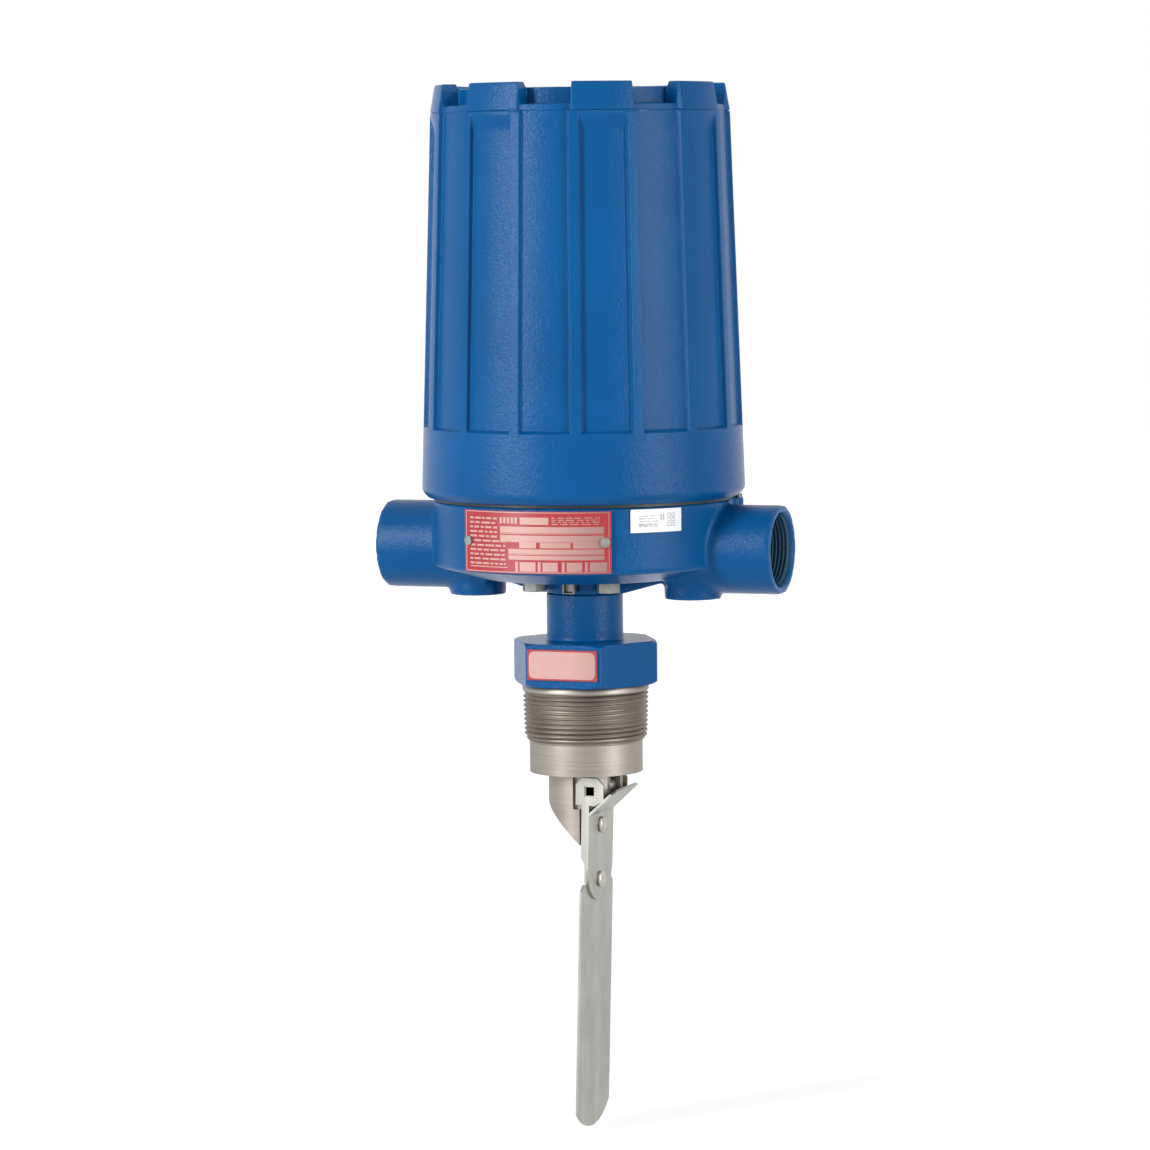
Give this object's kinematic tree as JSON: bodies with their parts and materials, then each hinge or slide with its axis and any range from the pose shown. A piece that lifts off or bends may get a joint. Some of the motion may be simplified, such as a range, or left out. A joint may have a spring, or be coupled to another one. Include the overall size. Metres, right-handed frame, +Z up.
{
  "type": "paddle flow switch",
  "caption": "Paddle flow switch: tall ribbed screw-on cover over a round cast base with side hubs, on a hexagon pipe bushing with a hinged flat vane below.",
  "frame": {"origin": "on the vertical axis at the lower face of the hexagon, where the taper pipe thread starts", "axes": "+Z up along the stem and cover, +X downstream along the conduit hubs, -Y the front with the nameplate"},
  "size_m": [0.198, 0.1538, 0.4986],
  "materials": {
    "blue_paint": "glossy blue paint on cast metal",
    "stainless": "machined stainless steel",
    "stainless_sheet": "rolled stainless sheet",
    "zinc_steel": "zinc-plated steel",
    "dark_steel": "dark plated steel",
    "red_plate": "red printed metal plate",
    "tag_metal": "satin metal tag",
    "gasket_rubber": "dark moulded rubber",
    "spring_steel": "spring wire",
    "bronze": "bearing bronze",
    "magnet": "cast magnet alloy",
    "sleeve_steel": "soft magnetic steel",
    "phenolic": "moulded phenolic",
    "brass_tab": "brass terminal",
    "lead_insulation": "insulated wire",
    "plunger_plastic": "moulded button"
  },
  "bodies": {
    "housing": {"process_bushing": "stainless", "pivot_bushes": "bronze", "return_spring": "spring_steel", "stem_guide": "bronze", "tube_seal": "gasket_rubber", "enclosing_tube": "stainless", "tube_nut": "stainless", "housing_base": "blue_paint", "base_bolts": "zinc_steel", "base_washers": "zinc_steel", "collar_set_screw": "dark_steel", "nameplate": "red_plate", "nameplate_pins": "zinc_steel", "rating_tag": "tag_metal", "flow_plate": "red_plate", "cover_lock_screw": "dark_steel", "conduit_plug": "dark_steel", "cover_gasket": "gasket_rubber", "switch_plate": "zinc_steel", "switch_frame": "zinc_steel", "frame_screws": "zinc_steel", "arm_pivot": "stainless", "magnet_spring": "spring_steel", "spring_post": "stainless", "microswitch": "phenolic", "switch_screws": "zinc_steel", "switch_terminals": "brass_tab", "terminal_block": "phenolic", "terminal_screws": "brass_tab", "lead_wires": "lead_insulation", "ground_screw": "zinc_steel"},
    "vane": {"vane_bracket": "stainless_sheet", "vane_blade": "stainless_sheet", "vane_rivets": "stainless", "pivot_shaft": "stainless", "drive_fork": "stainless", "fork_pin": "stainless"},
    "stem_rod": {"stem": "stainless", "foot_pin": "stainless", "attraction_sleeve": "sleeve_steel", "jam_nuts": "zinc_steel", "spring_cup": "stainless"},
    "magnet_carrier": {"magnet_arm": "stainless_sheet", "permanent_magnet": "magnet"},
    "plunger": {"switch_plunger": "plunger_plastic"},
    "cover": {"housing_cover": "blue_paint"}
  },
  "joints": [
    {"name": "vane_swing", "type": "hinge", "parent": "housing", "child": "vane", "pos_m": [0.0078, 0, -0.0504], "axis": [0, -1, 0], "range_deg": [0, 26], "stiffness_Nm_per_rad": 0.15, "springref_deg": -14.32},
    {"name": "stem_slide", "type": "slide", "parent": "housing", "child": "stem_rod", "axis": [0, 0, -1], "range_m": [0, 0.0036], "deforming": ["return_spring"]},
    {"name": "arm_swing", "type": "hinge", "parent": "housing", "child": "magnet_carrier", "pos_m": [0.024, 0, 0.205], "axis": [0, -1, 0], "range_deg": [0, 3.6], "deforming": ["magnet_spring"]},
    {"name": "plunger_slide", "type": "slide", "parent": "housing", "child": "plunger", "axis": [1, 0, 0], "range_m": [0, 0.0013]},
    {"name": "cover_lift", "type": "slide", "parent": "housing", "child": "cover", "axis": [0, 0, 1], "range_m": [0, 0.205]}
  ],
  "couplings": [
    {"joint": "stem_slide", "follows": "vane_swing", "m_per_rad": 0.00788},
    {"joint": "arm_swing", "follows": "vane_swing", "ratio": 0.1346},
    {"joint": "plunger_slide", "follows": "vane_swing", "m_per_rad": 0.0028}
  ]
}
